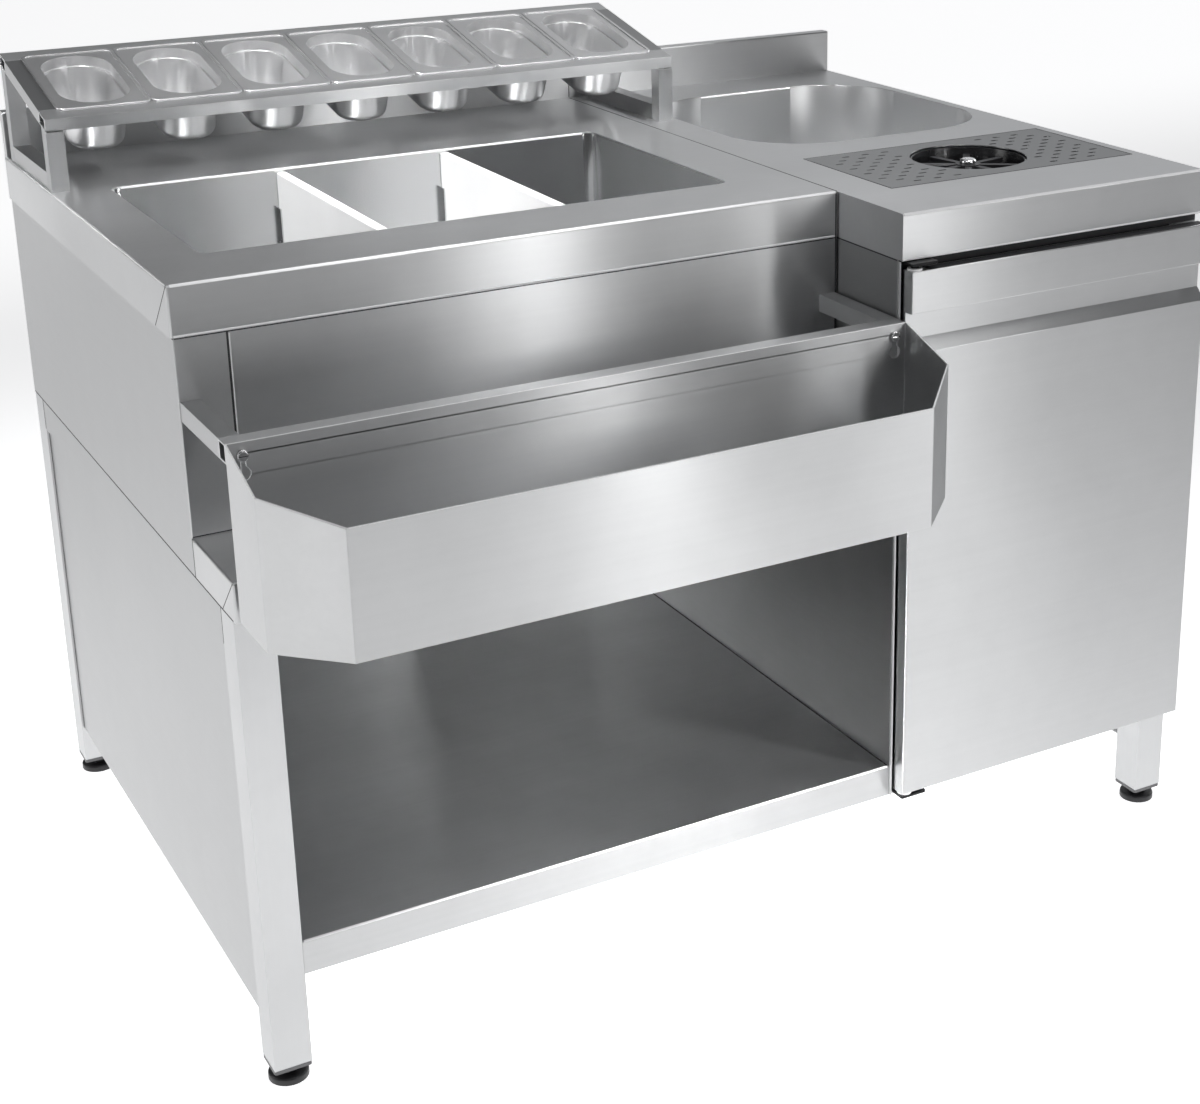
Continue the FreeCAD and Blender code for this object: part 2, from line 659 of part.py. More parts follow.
def rail_side_bars():
    sides = []
    for x in (RAIL_LEFT, RAIL_RIGHT - RAIL_TUBE):
        side = tube(
            x, RAIL_BAR_WIDE, -RAIL_BAR_HIGH, x + RAIL_TUBE, RAIL_RUN - RAIL_BAR_WIDE, 0, "y"
        )
        sides.append(tilt(side))
    return Part.makeCompound(sides)


def rail_posts():
    """Four posts cut off along the slope of the bars."""
    above = tilt(block(0, -RAIL_RUN, -RAIL_BAR_HIGH, WIDTH, 2 * RAIL_RUN, 2 * RAIL_RUN))
    posts = []
    for x in (RAIL_LEFT, RAIL_RIGHT - RAIL_TUBE):
        for y in (RAIL_FRONT, RAIL_BACK - RAIL_TUBE):
            post = tube(x, y, TOP_HEIGHT, x + RAIL_TUBE, y + RAIL_TUBE, RAIL_EDGE_Z + RAIL_RUN, "z")
            posts.append(post.cut(above))
    return Part.makeCompound(posts)


def rail_sills():
    """Bars along the worktop between the posts."""
    sills = []
    for x in (RAIL_LEFT, RAIL_RIGHT - RAIL_TUBE):
        sills.append(
            tube(
                x, RAIL_FRONT + RAIL_TUBE, TOP_HEIGHT,
                x + RAIL_TUBE, RAIL_BACK - RAIL_TUBE, TOP_HEIGHT + RAIL_TUBE, "y",
            )
        )
    return Part.makeCompound(sills)


def oval(wide, long, corner, z):
    """Closed outline of a rounded rectangle centred on the pan."""
    flat = slab(-wide / 2, -long / 2, wide / 2, long / 2, corner, z, z + 1)
    for face in flat.Faces:
        if face.BoundBox.ZLength < 0.01 and abs(face.BoundBox.ZMin - z) < 0.01:
            return face.OuterWire
    return None


def pan_cup(shrink, above):
    """Body of a pan, or its hollow when shrunk by the sheet thickness."""
    wide = PAN_WIDTH - 2 * PAN_RIM_SIDE - 2 * shrink
    long = PAN_LENGTH - 2 * PAN_RIM_END - 2 * shrink
    corner = wide / 2 - 3
    step = -PAN_STEP_DEPTH + shrink
    low = -PAN_DEPTH + shrink
    mouth = Part.Face(oval(wide, long, corner, 0)).extrude(Vector(0, 0, above))
    collar = Part.makeLoft([oval(wide, long, corner, 0), oval(wide - 2, long - 2, corner - 1, step)], True)
    shoulder = 2 * PAN_SHOULDER
    floor = shoulder + 2 * PAN_TAPER
    cup = Part.makeLoft(
        [
            oval(wide - shoulder, long - shoulder, corner - PAN_SHOULDER, step),
            oval(wide - floor, long - floor, corner - floor / 2, low),
        ],
        True,
    )
    cup = rounded_below(cup, PAN_FLOOR_ROUND - shrink, low)
    return mouth.fuse(collar).fuse(cup)


def pan(index):
    """One ninth-size gastronorm pan resting by its rim on the rail."""
    half_wide = PAN_WIDTH / 2
    half_long = PAN_LENGTH / 2
    crest = 2 * PAN_SHEET
    rim = slab(-half_wide, -half_long, half_wide, half_long, PAN_CORNER, 0, crest)
    rim = rim.makeFillet(0.8 * PAN_SHEET, [e for e in rim.Edges if abs(e.BoundBox.ZMin - crest) < 0.01])
    dish = slab(
        PAN_BEAD - half_wide, PAN_BEAD - half_long, half_wide - PAN_BEAD, half_long - PAN_BEAD,
        PAN_CORNER - PAN_BEAD / 2, PAN_SHEET, 2 * crest,
    )
    body = rim.cut(dish).fuse(pan_cup(0, PAN_SHEET)).cut(pan_cup(PAN_SHEET, 2 * crest))
    x = RAIL_LEFT + RAIL_MARGIN + PAN_PITCH * (index + 0.5)
    body.translate(Vector(x, RAIL_RUN / 2, REST_GAP))
    return tilt(body)


def arms():
    """Two bracket arms reaching forward from the well front."""
    pair = []
    for x in (ARM_LEFT, ARM_RIGHT - ARM_TUBE):
        pair.append(
            tube(x, ARM_FACE + ARM_TUBE, ARM_TOP - ARM_TUBE, x + ARM_TUBE, STEP_BACK, ARM_TOP, "y")
        )
    return Part.makeCompound(pair)


def screw_xs():
    return [ARM_LEFT + SCREW_INSET, ARM_RIGHT - SCREW_INSET]


def arm_bar():
    """Bar across the arm ends, drilled for the two hanging screws."""
    body = tube(ARM_LEFT, ARM_FACE, ARM_TOP - ARM_TUBE, ARM_RIGHT, ARM_FACE + ARM_TUBE, ARM_TOP, "x")
    for x in screw_xs():
        hole = Part.makeCylinder(SCREW_RADIUS, TUBE_WALL + 2, Vector(x, ARM_FACE - 1, SCREW_Z), Vector(0, 1, 0))
        body = body.cut(hole)
    return body


def hang_screws():
    """Pan-head screws on which the speed rail hangs."""
    screws = []
    head_back = TROUGH_BACK - SHEET - REST_GAP
    for x in screw_xs():
        head = Part.makeCylinder(
            SCREW_HEAD_RADIUS, SCREW_HEAD_HIGH, Vector(x, head_back, SCREW_Z), Vector(0, -1, 0)
        )
        face = head_back - SCREW_HEAD_HIGH
        head = head.makeFillet(1.8, [e for e in head.Edges if abs(e.BoundBox.YMax - face) < 0.01])
        slot = block(x - 4.5, face - 1, SCREW_Z - 0.6, x + 4.5, face + 1.3, SCREW_Z + 0.6)
        shank = Part.makeCylinder(
            SCREW_RADIUS, ARM_FACE + TUBE_WALL + 4 - head_back, Vector(x, head_back, SCREW_Z), Vector(0, 1, 0)
        )
        screws.append(head.cut(slot).fuse(shank))
    return Part.makeCompound(screws)


def trough_outline(inset):
    """Plan of the trough with its cut-off front corners, moved inwards by a sheet."""
    lean = math.tan(math.radians(22.5)) * inset
    back = TROUGH_BACK - inset
    face = TROUGH_FACE + inset
    left = ARM_LEFT + inset
    right = ARM_RIGHT - inset
    turn = TROUGH_FACE + TROUGH_CHAMFER + lean
    chamfer = TROUGH_CHAMFER + lean - inset
    points = [
        (left, back), (right, back), (right, turn),
        (right - chamfer, face), (left + chamfer, face), (left, turn), (left, back),
    ]
    return Part.Face(Part.makePolygon([Vector(x, y, TROUGH_FLOOR) for x, y in points]))


def speed_rail():
    """Bottle trough with one sloping top edge, hung from the screws by keyholes."""
    body = trough_outline(0).extrude(Vector(0, 0, TROUGH_HEIGHT))
    hollow = trough_outline(SHEET).extrude(Vector(0, 0, TROUGH_HEIGHT))
    hollow.translate(Vector(0, 0, SHEET))
    front_top = TROUGH_FLOOR + TROUGH_FRONT_HEIGHT
    start = TROUGH_BACK - SHEET
    profile = [
        Vector(-1, start, ARM_TOP),
        Vector(-1, TROUGH_FACE, front_top),
        Vector(-1, TROUGH_FACE - 50, front_top),
        Vector(-1, TROUGH_FACE - 50, ARM_TOP + 50),
        Vector(-1, start, ARM_TOP + 50),
        Vector(-1, start, ARM_TOP),
    ]
    slope = Part.Face(Part.makePolygon(profile)).extrude(Vector(LEFT_WIDTH + 2, 0, 0))
    body = body.cut(hollow).cut(slope)
    half = SCREW_RADIUS + SLIP_FIT
    hang = SCREW_Z + SCREW_RADIUS + HANG_GAP - half
    for x in screw_xs():
        way = Vector(0, 1, 0)
        top = Part.makeCylinder(half, 8, Vector(x, TROUGH_BACK - 4, hang), way)
        low = Part.makeCylinder(KEYHOLE_RADIUS, 8, Vector(x, TROUGH_BACK - 4, SCREW_Z - KEYHOLE_DROP), way)
        neck = block(
            x - half, TROUGH_BACK - 4, SCREW_Z - KEYHOLE_DROP, x + half, TROUGH_BACK + 4, hang
        )
        body = body.cut(top.fuse(low).fuse(neck))
    return body


def slot_places():
    """Staggered drain slots left and right of the round opening."""
    places = []
    keep_out = COVER_HOLE_RADIUS + SLOT_MARGIN
    columns = int((COVER_RIGHT - COVER_MID_X - SLOT_MARGIN) / SLOT_PITCH_X)
    for column in range(4, columns + 1):
        shift = SLOT_PITCH_Y / 2 if column % 2 else 0
        for row in range(-3, 4):
            offset = SLOT_PITCH_Y * row + shift
            side = SLOT_PITCH_X * column
            inside = abs(offset) < COVER_MID_Y - COVER_FRONT - SLOT_MARGIN
            diamond = abs(offset) / SLOT_PITCH_Y + (column - 9) / 2 < 3.2
            if inside and diamond and math.hypot(side, offset) > keep_out:
                places.append((COVER_MID_X + side, COVER_MID_Y + offset))
                places.append((COVER_MID_X - side, COVER_MID_Y + offset))
    return places


def drip_cover():
    """Perforated plate lying flush in the worktop over the rinser basin."""
    low = SHEET_UNDER + REST_GAP
    body = block(COVER_LEFT, COVER_FRONT, low, COVER_RIGHT, COVER_BACK, TOP_HEIGHT)
    body = body.cut(upright(COVER_MID_X, COVER_MID_Y, COVER_HOLE_RADIUS, low - 1, TOP_HEIGHT + 1))
    cutters = []
    for x, y in slot_places():
        reach = (SLOT_LONG - SLOT_WIDE) / 2
        hole = block(x - reach, y - SLOT_WIDE / 2, low - 1, x + reach, y + SLOT_WIDE / 2, TOP_HEIGHT + 1)
        for end in (x - reach, x + reach):
            hole = hole.fuse(upright(end, y, SLOT_WIDE / 2, low - 1, TOP_HEIGHT + 1))
        cutters.append(hole)
    return body.cut(cutters)


def rinser_heights():
    """Levels of the rinser: column top, post top, hub foot and hub top."""
    hub_top = TOP_HEIGHT - HUB_DROP
    hub_foot = hub_top - HUB_HIGH
    column = hub_foot - RINSER_STROKE - RINSER_ROOM
    post = hub_top - HUB_CAP - RINSER_STROKE - RINSER_ROOM
    return column, post, hub_foot, hub_top


def rinser_base():
    """Fixed valve body bolted through the basin floor, with its water inlet below."""
    column, post, hub_foot, hub_top = rinser_heights()
    x, y = COVER_MID_X, COVER_MID_Y
    under = BASIN_FLOOR - SHEET
    body = upright(x, y, RINSER_FLANGE_RADIUS, BASIN_FLOOR, BASIN_FLOOR + RINSER_FLANGE)
    body = body.fuse(upright(x, y, RINSER_COLUMN_RADIUS, BASIN_FLOOR, column))
    body = body.fuse(upright(x, y, RINSER_POST_RADIUS, column, post))
    body = body.fuse(upright(x, y, INLET_RADIUS, under - INLET_LENGTH, BASIN_FLOOR))
    body = body.fuse(upright(x, y, INLET_RADIUS + INLET_NUT, under - INLET_NUT_HIGH, under))
    return body.cut(upright(x, y, RINSER_BORE, under - INLET_LENGTH - 1, post - RINSER_BORE))


def rinser_cup():
    """Plastic cup round the star, standing on the flange of the valve body."""
    x, y = COVER_MID_X, COVER_MID_Y
    low = BASIN_FLOOR + RINSER_FLANGE
    body = upright(x, y, CUP_RADIUS, low, SHEET_UNDER - CUP_GAP)
    body = body.cut(upright(x, y, CUP_RADIUS - CUP_WALL, low + CUP_WALL, TOP_HEIGHT))
    body = body.cut(upright(x, y, RINSER_COLUMN_RADIUS + SLIP_FIT, low - 1, low + CUP_WALL + 1))
    for i in range(SPIDER_ARMS):
        turn = 2 * math.pi * i / SPIDER_ARMS
        drain_x = x + CUP_DRAIN_CIRCLE * math.cos(turn)
        drain_y = y + CUP_DRAIN_CIRCLE * math.sin(turn)
        body = body.cut(upright(drain_x, drain_y, CUP_DRAIN_RADIUS, low - 1, low + CUP_WALL + 1))
    return body


def rinser_spider():
    """Star that a glass presses down, with its hub sliding on the post."""
    column, post, hub_foot, hub_top = rinser_heights()
    x, y = COVER_MID_X, COVER_MID_Y
    half = SPIDER_ARM_WIDE / 2
    crest = hub_top - HUB_CAP / 2
    body = upright(x, y, RINSER_COLUMN_RADIUS, hub_foot, hub_top)
    for i in range(SPIDER_ARMS):
        arm = block(x + RINSER_POST_RADIUS + half, y - half, crest - SPIDER_ARM_HIGH, x + SPIDER_RADIUS, y + half, crest)
        arm = arm.makeFillet(half * 0.9, edges_along(arm, "z", x=x + SPIDER_RADIUS))
        arm.rotate(Vector(x, y, 0), Vector(0, 0, 1), 360.0 * i / SPIDER_ARMS + SPIDER_TURN)
        body = body.fuse(arm)
    return body.cut(upright(x, y, RINSER_POST_RADIUS + RUN_FIT, hub_foot - 1, hub_top - HUB_CAP))


def rinser_nozzle():
    """Bright spray cap on top of the star."""
    column, post, hub_foot, hub_top = rinser_heights()
    x, y = COVER_MID_X, COVER_MID_Y
    high = hub_top + NOZZLE_HIGH
    body = upright(x, y, NOZZLE_RADIUS, hub_top, high)
    body = body.makeFillet(NOZZLE_HIGH * 0.7, [e for e in body.Edges if abs(e.BoundBox.ZMin - high) < 0.01])
    for i in range(6):
        turn = math.radians(60 * i)
        jet_x = x + JET_CIRCLE * math.cos(turn)
        jet_y = y + JET_CIRCLE * math.sin(turn)
        body = body.cut(upright(jet_x, jet_y, JET_RADIUS, high - NOZZLE_HIGH / 2, high + 1))
    return body


def door_profile(skin, back):
    """Side outline of the door with its full-width grip recess, thinned by a skin."""
    face = DOOR_FACE + skin
    recess = DOOR_FACE + GRIP_DEPTH + skin
    band = DOOR_TOP - GRIP_BAND
    lip = band - GRIP_BACK
    drop = lip - GRIP_SLOPE
    bend = skin * math.tan(math.atan2(GRIP_DEPTH, GRIP_SLOPE) / 2)
    points = [
        (back, DOOR_BOTTOM + skin), (face, DOOR_BOTTOM + skin), (face, drop - bend),
        (recess, lip - bend), (recess, band + skin), (face, band + skin),
        (face, DOOR_TOP - skin), (back, DOOR_TOP - skin), (back, DOOR_BOTTOM + skin),
    ]
    left = DOOR_LEFT + skin
    right = DOOR_RIGHT - skin
    outline = Part.Face(Part.makePolygon([Vector(left, y, z) for y, z in points]))
    return outline.extrude(Vector(right - left, 0, 0))


def pivots():
    """Levels of the top and bottom pivots: end of the door and the way outwards."""
    return [(DOOR_TOP, 1), (DOOR_BOTTOM, -1)]


def door_outer():
    """Outer door pan with the grip folded into it, bored for the pivot bushes."""
    body = door_profile(0, DOOR_BACK)
    bends = edges_along(body, "z", y=DOOR_FACE)
    bends += edges_along(body, "x", y=DOOR_FACE)
    body = body.makeFillet(1.2, bends)
    body = body.cut(door_profile(SHEET, DOOR_BACK + 1))
    for end, way in pivots():
        low, high = sorted((end - way * 2 * SHEET, end + way))
        body = body.cut(upright(PIVOT_X, PIVOT_Y, BUSH_RADIUS, low, high))
    return body


def door_inner():
    """Flat back of the door, let into the outer pan."""
    return block(
        DOOR_LEFT + SHEET, DOOR_BACK - SHEET, DOOR_BOTTOM + SHEET, DOOR_RIGHT - SHEET, DOOR_BACK, DOOR_TOP - SHEET
    )


def hinge_bushes():
    """Plastic bushes in the door ends."""
    bushes = []
    for end, way in pivots():
        low, high = sorted((end, end + way * BUSH_FLANGE))
        flange = upright(PIVOT_X, PIVOT_Y, BUSH_FLANGE_RADIUS, low, high)
        low, high = sorted((end, end - way * BUSH_LENGTH))
        barrel = upright(PIVOT_X, PIVOT_Y, BUSH_RADIUS, low, high)
        bore = upright(PIVOT_X, PIVOT_Y, PIN_RADIUS + RUN_FIT, low - 5, high + 5)
        bushes.append(flange.fuse(barrel).cut(bore))
    return Part.makeCompound(bushes)


def hinge_levels():
    """Face of each hinge plate towards the door, and the way outwards."""
    top = DOOR_TOP + (DOOR_TOP_GAP - HINGE_PLATE) - 1
    bottom = DOOR_BOTTOM - BUSH_FLANGE - REST_GAP
    return [(top, 1), (bottom, -1)]


def hinge_plates():
    """Plates on the cupboard front, each with a pivot pin welded to it."""
    plates = []
    front = PIVOT_Y - BUSH_FLANGE_RADIUS
    for (face, way), (end, _) in zip(hinge_levels(), pivots()):
        low, high = sorted((face, face + way * HINGE_PLATE))
        plate = slab(DOOR_LEFT, front, DOOR_LEFT + HINGE_PLATE_LONG, LEG_FRONT, 2, low, high)
        low, high = sorted((face, end - way * (BUSH_LENGTH - 2)))
        plates.append(plate.fuse(upright(PIVOT_X, PIVOT_Y, PIN_RADIUS, low, high)))
    return Part.makeCompound(plates)


def catch_spot():
    right = LEG_IN_RIGHT - 8
    high = APRON_BOTTOM - TOP_BAR
    return right - CATCH_WIDTH, right, high - CATCH_HIGH, high


def door_catch():
    """Magnet block under the cupboard's top bar."""
    x0, x1, z0, z1 = catch_spot()
    return block(x0, LEG_FRONT, z0, x1, LEG_FRONT + TOP_BAR, z1)


def door_striker():
    """Steel plate on the door back that meets the magnet."""
    x0, x1, z0, z1 = catch_spot()
    return block(x0 + 4, DOOR_BACK, z0, x1 - 4, LEG_FRONT - SLIP_FIT, z1)


def pieces():
    """Every sub-part by name."""
    parts = {
        "worktop_left": worktop_left(),
        "worktop_right": worktop_right(),
        "well_tub": well_tub(),
        "well_foam": well_foam(),
        "well_waste": waste(WELL_MID_X, WELL_MID_Y, WELL_FLOOR, WELL_TAIL),
        "divider_clips": divider_clips(),
        "foot_caps": foot_caps(),
        "side_rail": side_rail(),
        "cross_rails": cross_rails(),
        "side_panel_lower": side_panel_lower(),
        "side_panel_right": side_panel_right(),
        "side_panel_upper": side_panel_upper(),
        "well_front_panel": well_front_panel(),
        "back_panel_upper": back_panel_upper(),
        "back_panel_lower": back_panel_lower(),
        "back_panel_right": back_panel_right(),
        "partition": partition(),
        "deck": deck(),
        "shelf": shelf(),
        "cupboard_floor": cupboard_floor(),
        "cupboard_top_bar": cupboard_top_bar(),
        "rail_bars": rail_bars(),
        "rail_side_bars": rail_side_bars(),
        "rail_posts": rail_posts(),
        "rail_sills": rail_sills(),
        "arms": arms(),
        "arm_bar": arm_bar(),
        "hang_screws": hang_screws(),
        "speed_rail": speed_rail(),
        "sink_bowl": sink_bowl(),
        "sink_waste": waste(SINK_MID_X, SINK_MID_Y, SINK_FLOOR, SINK_TAIL),
        "rinser_basin": rinser_basin(),
        "rinser_base": rinser_base(),
        "rinser_cup": rinser_cup(),
        "rinser_spider": rinser_spider(),
        "rinser_nozzle": rinser_nozzle(),
        "drip_cover": drip_cover(),
        "door_outer": door_outer(),
        "door_inner": door_inner(),
        "door_striker": door_striker(),
        "hinge_bushes": hinge_bushes(),
        "hinge_plates": hinge_plates(),
        "door_catch": door_catch(),
    }
    leg_names = ["leg_front_left", "leg_front_right", "leg_back_left", "leg_back_right"]
    for name, (x, y) in zip(leg_names, leg_places()):
        top = LOWER_HEIGHT if x < WIDTH / 2 else APRON_BOTTOM
        parts[name] = leg(x, y, top)
        parts[name.replace("leg", "foot")] = foot(x + LEG_SIZE / 2, y + LEG_SIZE / 2)
    for i, middle in enumerate(divider_middles()):
        parts["divider_%d" % (i + 1)] = divider(middle)
    for i in range(PAN_COUNT):
        parts["pan_%d" % (i + 1)] = pan(i)
    return parts


def main():
    os.makedirs("parts", exist_ok=True)
    for name, shape in pieces().items():
        shape.translate(CENTRE)
        shape.exportStep("parts/%s.step" % name)


main()
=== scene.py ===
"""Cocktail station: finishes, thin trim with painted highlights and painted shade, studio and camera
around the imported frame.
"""
import math

import bpy
import numpy as np
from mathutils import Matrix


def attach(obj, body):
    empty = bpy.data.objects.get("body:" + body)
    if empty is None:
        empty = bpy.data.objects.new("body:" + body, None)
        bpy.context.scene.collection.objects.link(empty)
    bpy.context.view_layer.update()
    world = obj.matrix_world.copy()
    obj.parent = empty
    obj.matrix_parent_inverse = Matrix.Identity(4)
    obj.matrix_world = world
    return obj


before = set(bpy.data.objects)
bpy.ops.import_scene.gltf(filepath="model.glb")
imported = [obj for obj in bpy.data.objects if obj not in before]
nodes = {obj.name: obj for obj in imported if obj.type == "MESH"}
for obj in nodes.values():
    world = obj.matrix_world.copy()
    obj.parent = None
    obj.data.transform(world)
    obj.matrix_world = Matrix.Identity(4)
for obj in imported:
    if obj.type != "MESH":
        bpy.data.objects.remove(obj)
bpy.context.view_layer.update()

MM = 0.001

# Camera of the photograph, worked out from the corners of the station: place in metres, turn in
# degrees, focal length and optical axis in pixels of the photograph
IMAGE_WIDTH = 1200
IMAGE_HEIGHT = 1104
EYE = (-1.0834, -2.1365, 1.3498)
EYE_TURN = (71.261, 0.468, -30.12)
FOCAL_PIXELS = 2096.3
AXIS_PIXEL = (732.1, 408.0)
SENSOR_WIDTH = 36.0
VIEW_END = 200.0

# Floor and its glow: strength near the centre and far from it, the distances between which it falls,
# what is added behind the station, and the depths between which that rises
FLOOR_HALF = 30.0
FLOOR_TONE = (0.88, 0.88, 0.885, 1.0)
FLOOR_ROUGH = 0.6
GLOW_TONE = (1.0, 1.0, 1.0, 1.0)
GLOW_CENTRE = (-0.45, 0.10, 0.0)
GLOW_NEAR = 0.85
GLOW_FAR = 0.28
GLOW_FALL = (0.7, 2.7)
GLOW_BEHIND = 0.42
GLOW_RISE = (1.0, 4.0)

# Surround: its tone, and two brighter sides as direction, start and end of the rise towards it, and
# strength before and after the rise; the strengths of the two are added
SURROUND_TONE = (0.97, 0.98, 1.0, 1.0)
SURROUND_SIDES = [
    ((0.85, 0.50, 0.15), 0.60, 0.98, 0.05, 0.71),
    ((0.0, 0.0, 1.0), 0.50, 0.95, 0.0, 0.37),
]

# Soft lights as name, place, target, size, power and spread in degrees
LIGHTS = [
    ("key light", (0.6, -1.2, 2.5), (-0.1, 0.0, 0.7), (2.4, 0.5), 8.5, 180.0),
    ("well light", (-0.45, 0.0, 2.2), (-0.22, 0.06, 0.7), (0.5, 0.3), 1.3, 30.0),
    ("pan light", (-1.1, -0.8, 2.3), (-0.2, 0.35, 0.93), (0.6, 0.5), 2.6, 34.0),
    ("corner light", (-2.4, -1.0, 1.3), (-0.55, -0.42, 0.62), (0.6, 0.8), 0.10, 14.0),
    ("sink light", (0.42, -0.5, 2.3), (0.4, 0.22, 0.75), (0.5, 0.3), 1.3, 26.0),
    ("shelf light", (-1.5, -2.7, 0.5), (0.15, 0.1, 0.22), (0.3, 0.2), 2.2, 14.0),
    ("shelf strip", (1.0, -2.7, 0.35), (0.0, 0.1, 0.2), (0.12, 0.4), 0.06, 20.0),
    ("left light", (-3.0, 1.0, 1.8), (-0.5, 0.1, 0.5), (1.4, 1.4), 18.0, 180.0),
    ("right light", (3.2, 0.6, 1.7), (0.2, 0.0, 0.7), (1.2, 1.6), 18.0, 180.0),
    ("near strip", (1.04, -3.0, 1.6), (-0.2, -0.2, 0.6), (0.06, 1.8), 9.0, 180.0),
    ("far strip", (1.80, -2.8, 1.6), (-0.2, -0.2, 0.6), (0.30, 1.8), 7.0, 180.0),
]

# Rounding of the sheet edges, and the nodes that go without it
EDGE_ROUND = 0.5 * MM
EDGE_ANGLE = 35.0
EDGE_SEGMENTS = 2
WELD_DISTANCE = 0.01 * MM
SHARP_EDGED = ("well_foam", "drip_cover", "divider_clips")

# Lines on the sheets, each as start, end, outward side and width in millimetres, measured from the
# left side, the face of the right worktop and the floor
FRAME_ORIGIN = (590.0, 338.4, 0.0)
LEFT, RIGHT = (-1, 0, 0), (1, 0, 0)
FRONT, BACK = (0, -1, 0), (0, 1, 0)
UP = (0, 0, 1)
FRONT_UP, LEFT_UP = (0, -0.7071, 0.7071), (-0.7071, 0, 0.7071)
DOME_POINTS = 9
LINE_SUNK = 0.3

# Dark joints between sheets, and painted shade: dark lines in recesses and under the apron, and a
# dark band in the gap over the door
JOINT_PROUD = 0.25
JOINTS_AND_SHADES = [
    # Left side, from the mitre of the worktop down to the edges of the lower panel
    ((0, 131, 825), (0, 181, 775), LEFT, 1.0),
    # Joint under the left apron, also painted shade under the apron's lip
    ((2, 130, 773), (2, 828, 773), LEFT, 1.4),
    ((2, 9, 526), (2, 825, 526), LEFT, 1.6),
    ((2, 130, 526), (2, 130, 568), LEFT, 1.2),
    ((2, 1, 567), (2, 41, 527), LEFT, 1.0),
    ((2, 49, 487), (2, 49, 525), LEFT, 0.8),
    ((2, 785, 487), (2, 785, 525), LEFT, 0.8),
    # Painted shade: dark lines where the lower panel sits back from the rail and the legs
    ((5, 50, 485), (5, 784, 485), LEFT, 1.6),
    ((5, 50, 69), (5, 50, 485), LEFT, 1.4),
    ((5, 784, 69), (5, 784, 485), LEFT, 1.4),
    # Round the front of the well
    ((55, 130, 568), (55, 130, 773), FRONT, 2.2),
    ((3, 130, 773), (755, 130, 773), FRONT, 1.2),
    ((3, 130, 569), (755, 130, 569), FRONT, 1.2),
    ((754.6, 130, 569), (754.6, 130, 825), FRONT, 2.2),
    # Under the left end of the right worktop
    ((756, 10, 773), (756, 129, 773), LEFT, 1.4),
    # Between the worktops and up over the upstand
    ((756, 131, 826), (756, 813, 826), UP, 1.6),
    ((756, 814, 827), (756, 814, 882), FRONT, 1.4),
    ((756, 815, 883), (756, 829, 883), UP, 1.4),
    # Between shelf and partition
    ((754.6, 11, 163), (754.6, 822, 163), UP, 2.4),
    # Edges of the right side panel
    ((1175, 50, 773), (1175, 784, 773), RIGHT, 1.4),
    ((1175, 50, 69), (1175, 50, 773), RIGHT, 1.4),
    ((1175, 784, 69), (1175, 784, 773), RIGHT, 1.4),
    # Edges of the back panels
    ((42, 825, 126), (42, 825, 525), BACK, 1.2),
    ((1138, 825, 126), (1138, 825, 773), BACK, 1.2),
    ((756.8, 825, 126), (756.8, 825, 773), BACK, 1.2),
    ((43, 825, 486), (755, 825, 486), BACK, 1.2),
    ((4, 825, 526), (755, 825, 526), BACK, 1.2),
    # Painted shade: a dark band in the gap over the door, on the bar behind it, where there is only
    # shadow
    ((758, 9, 769), (1177, 9, 769), FRONT, 9.6),
    # Round the drip cover
    ((815.4, 109.4, 826), (1163.6, 109.4, 826), UP, 1.4),
    ((815.4, 296.6, 826), (1163.6, 296.6, 826), UP, 1.4),
    ((815.4, 109.4, 826), (815.4, 296.6, 826), UP, 1.4),
    ((1163.6, 109.4, 826), (1163.6, 296.6, 826), UP, 1.4),
]

# Painted highlights: pale lines along edges, where a fold would catch the light
FOLD_PROUD = 0.35
FOLD_HIGHLIGHTS = [
    # Folds of the worktops, in front and at the left
    ((4, 130.73, 825.27), (754, 130.73, 825.27), FRONT_UP, 3.4),
    ((758, 0.73, 825.27), (1176, 0.73, 825.27), FRONT_UP, 3.4),
    ((0.73, 134, 825.27), (0.73, 812, 825.27), LEFT_UP, 1.0),
    # Front folds of the shelf and the deck
    ((44, 9.73, 162.27), (754, 9.73, 162.27), FRONT_UP, 2.6),
    ((3, 0.73, 567.27), (754, 0.73, 567.27), FRONT_UP, 1.4),
    # Lower edges of the aprons
    ((3, 130, 775.2), (753, 130, 775.2), FRONT, 2.0),
    ((757, 0, 775.2), (1178, 0, 775.2), FRONT, 2.0),
    # Left edge of the well front
    ((57, 130, 571), (57, 130, 771), FRONT, 1.2),
    # Back rims of the well and the sink
    ((77, 585, 824.5), (663, 585, 824.5), FRONT, 2.8),
    ((914, 722, 824.5), (1058, 722, 824.5), FRONT, 2.4),
]

# Painted highlights: pale lines on the top edges of the speed rail, like those on the folds
RAIL_EDGE_HIGHLIGHTS = [
    ((3, -12.95, 710), (753, -12.95, 710), UP, 1.4),
    ((65, -152.45, 663.3), (691, -152.45, 663.3), UP, 1.5),
    ((65, -152.4, 663.3), (4, -91.9, 683.7), UP, 1.5),
    ((691, -152.4, 663.3), (752, -91.9, 683.7), UP, 1.5),
    ((3.75, -91.5, 683.8), (3.75, -14, 709.9), UP, 1.4),
    ((752.25, -91.5, 683.8), (752.25, -14, 709.9), UP, 1.4),
]

# Hem on the front edge of the partition, and painted shade: a dark band on the top of the door, where
# the gap over it lies in shadow
HEM_PROUD = 1.2
PARTITION_HEM = [((757.3, 6.95, 126), (757.3, 6.95, 772), LEFT, 4.0)]
DOOR_TOP_SHADE = [((784, -4.5, 764), (1176, -4.5, 764), UP, 15.0)]

# Values between which most of a noise lies, and the usual detail and roughness of one
NOISE_LOW = 0.3
NOISE_HIGH = 0.7
NOISE_DETAIL = 2.0
NOISE_ROUGH = 0.5

